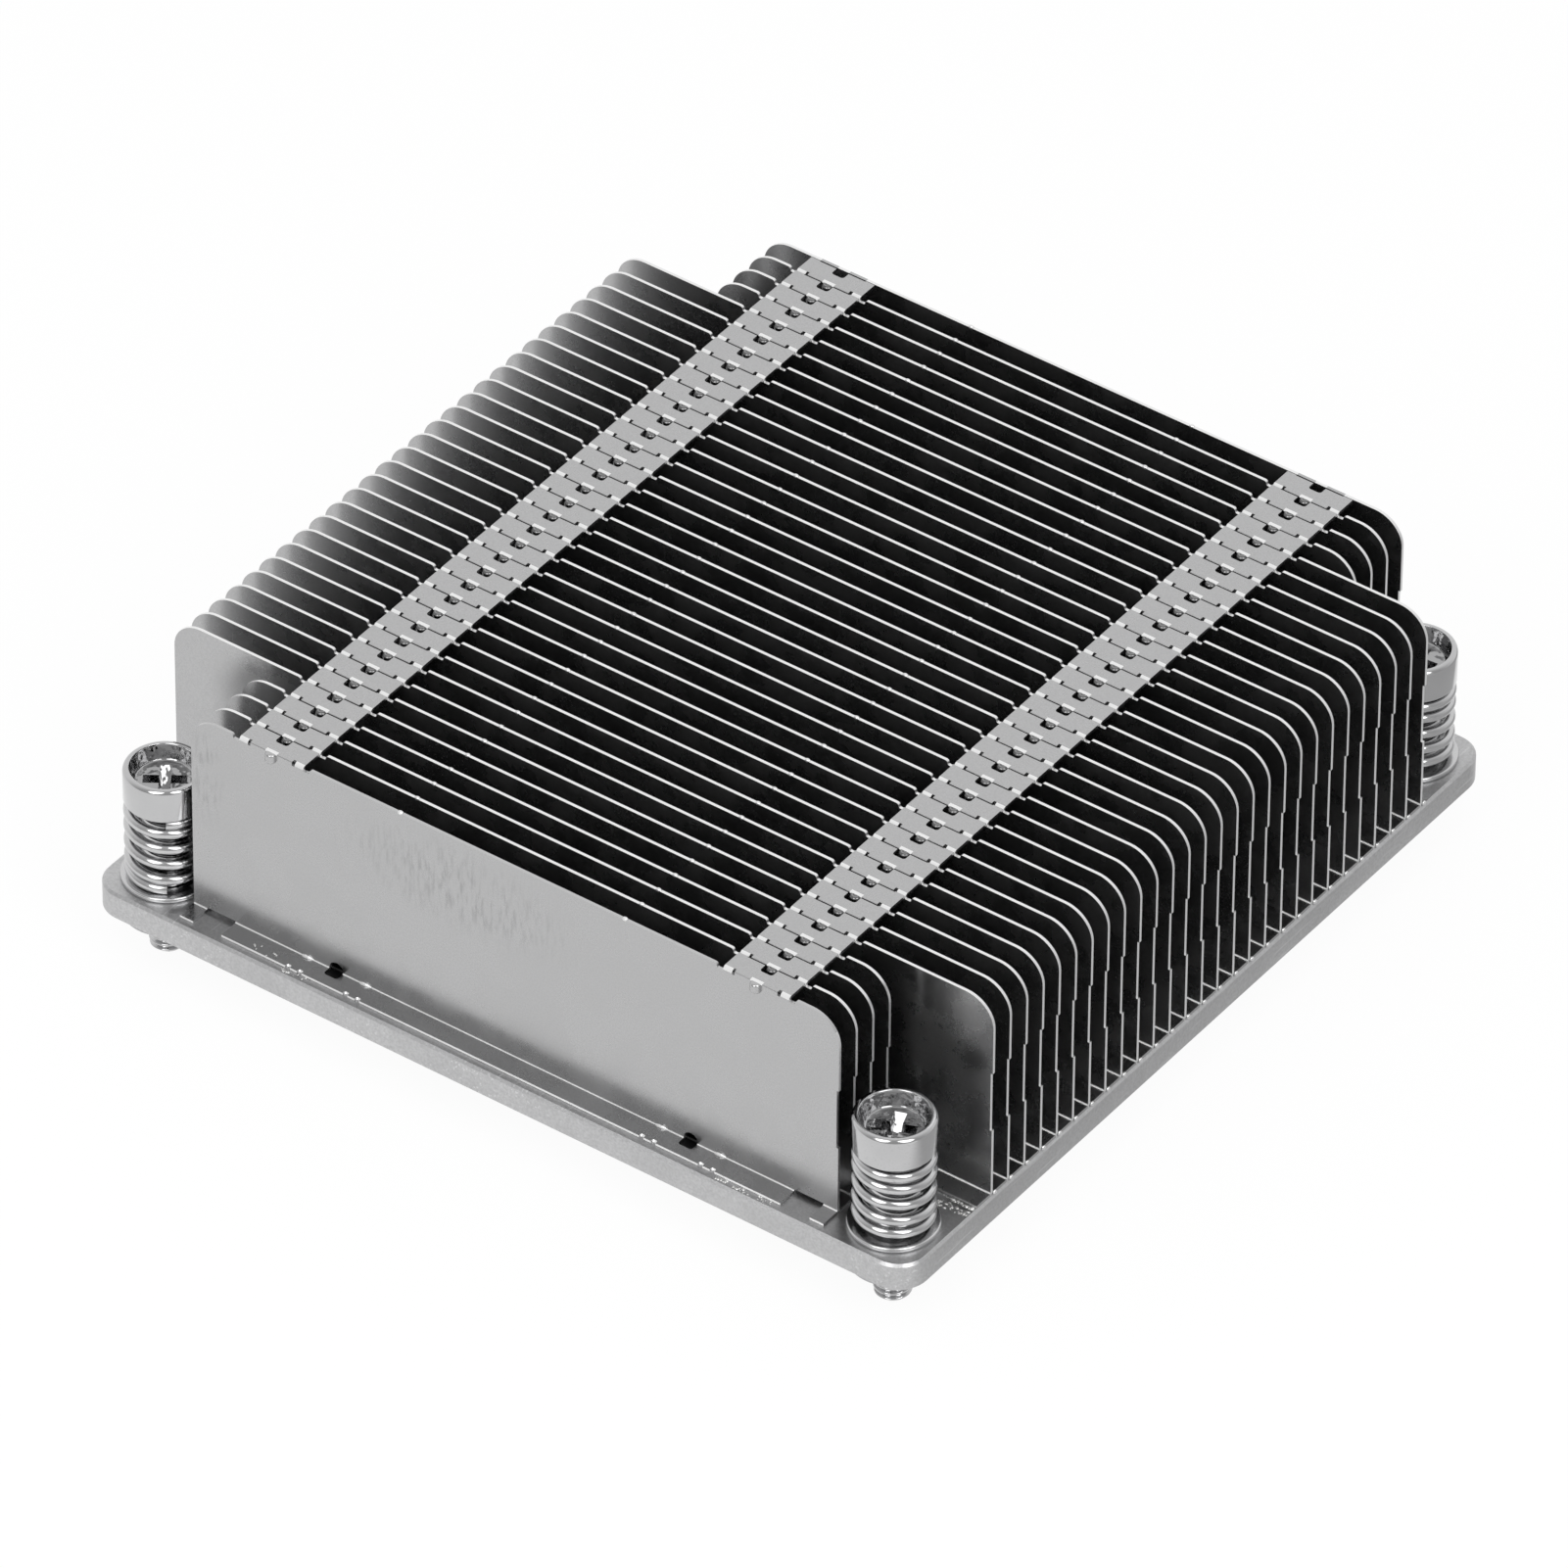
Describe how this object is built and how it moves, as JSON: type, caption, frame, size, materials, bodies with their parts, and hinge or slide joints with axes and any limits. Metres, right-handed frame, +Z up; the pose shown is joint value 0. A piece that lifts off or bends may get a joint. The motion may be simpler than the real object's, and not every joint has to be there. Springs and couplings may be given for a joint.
{
  "type": "passive processor heatsink",
  "caption": "Low square heatsink: a row of folded, interlocked sheet fins on a flat base plate, with captive spring screws at its corners.",
  "frame": {"origin": "centre of the base plate's flat underside", "axes": "+Z up from the base plate to the fin tops, +X along the fins' length, +Y from the first fin to the plain last fin"},
  "size_m": [0.09, 0.09, 0.03],
  "materials": {
    "base_aluminium": "satin",
    "fin_aluminium": "satin",
    "screw_plating": "bright plated",
    "spring_wire": "bright plated",
    "washer_steel": "plated",
    "clip_steel": "plain"
  },
  "bodies": {
    "heatsink": {"base_plate": "base_aluminium", "fin_01": "fin_aluminium", "fin_02": "fin_aluminium", "fin_03": "fin_aluminium", "fin_04": "fin_aluminium", "fin_05": "fin_aluminium", "fin_06": "fin_aluminium", "fin_07": "fin_aluminium", "fin_08": "fin_aluminium", "fin_09": "fin_aluminium", "fin_10": "fin_aluminium", "fin_11": "fin_aluminium", "fin_12": "fin_aluminium", "fin_13": "fin_aluminium", "fin_14": "fin_aluminium", "fin_15": "fin_aluminium", "fin_16": "fin_aluminium", "fin_17": "fin_aluminium", "fin_18": "fin_aluminium", "fin_19": "fin_aluminium", "fin_20": "fin_aluminium", "fin_21": "fin_aluminium", "fin_22": "fin_aluminium", "fin_23": "fin_aluminium", "fin_24": "fin_aluminium", "fin_25": "fin_aluminium", "fin_26": "fin_aluminium", "fin_27": "fin_aluminium", "fin_28": "fin_aluminium", "fin_29": "fin_aluminium", "fin_30": "fin_aluminium", "fin_31": "fin_aluminium", "fin_32": "fin_aluminium", "fin_33": "fin_aluminium", "fin_34": "fin_aluminium", "fin_35": "fin_aluminium", "fin_36": "fin_aluminium", "washer_front_left": "washer_steel", "washer_front_right": "washer_steel", "washer_back_left": "washer_steel", "washer_back_right": "washer_steel", "spring_front_left": "spring_wire", "spring_front_right": "spring_wire", "spring_back_left": "spring_wire", "spring_back_right": "spring_wire"},
    "clip_front_left": {"clip_front_left": "clip_steel"},
    "screw_front_left": {"screw_front_left": "screw_plating"},
    "clip_front_right": {"clip_front_right": "clip_steel"},
    "screw_front_right": {"screw_front_right": "screw_plating"},
    "clip_back_left": {"clip_back_left": "clip_steel"},
    "screw_back_left": {"screw_back_left": "screw_plating"},
    "clip_back_right": {"clip_back_right": "clip_steel"},
    "screw_back_right": {"screw_back_right": "screw_plating"}
  },
  "joints": [
    {"name": "press_front_left", "type": "slide", "parent": "heatsink", "child": "clip_front_left", "axis": [0, 0, -1], "range_m": [0, 0.0024], "stiffness_N_per_m": 3000, "deforming": ["spring_front_left"]},
    {"name": "turn_front_left", "type": "hinge", "parent": "clip_front_left", "child": "screw_front_left", "pos_m": [-0.04, -0.04, 0], "axis": [0, 0, 1], "continuous": true},
    {"name": "press_front_right", "type": "slide", "parent": "heatsink", "child": "clip_front_right", "axis": [0, 0, -1], "range_m": [0, 0.0024], "stiffness_N_per_m": 3000, "deforming": ["spring_front_right"]},
    {"name": "turn_front_right", "type": "hinge", "parent": "clip_front_right", "child": "screw_front_right", "pos_m": [0.04, -0.04, 0], "axis": [0, 0, 1], "continuous": true},
    {"name": "press_back_left", "type": "slide", "parent": "heatsink", "child": "clip_back_left", "axis": [0, 0, -1], "range_m": [0, 0.0024], "stiffness_N_per_m": 3000, "deforming": ["spring_back_left"]},
    {"name": "turn_back_left", "type": "hinge", "parent": "clip_back_left", "child": "screw_back_left", "pos_m": [-0.04, 0.04, 0], "axis": [0, 0, 1], "continuous": true},
    {"name": "press_back_right", "type": "slide", "parent": "heatsink", "child": "clip_back_right", "axis": [0, 0, -1], "range_m": [0, 0.0024], "stiffness_N_per_m": 3000, "deforming": ["spring_back_right"]},
    {"name": "turn_back_right", "type": "hinge", "parent": "clip_back_right", "child": "screw_back_right", "pos_m": [0.04, 0.04, 0], "axis": [0, 0, 1], "continuous": true}
  ]
}
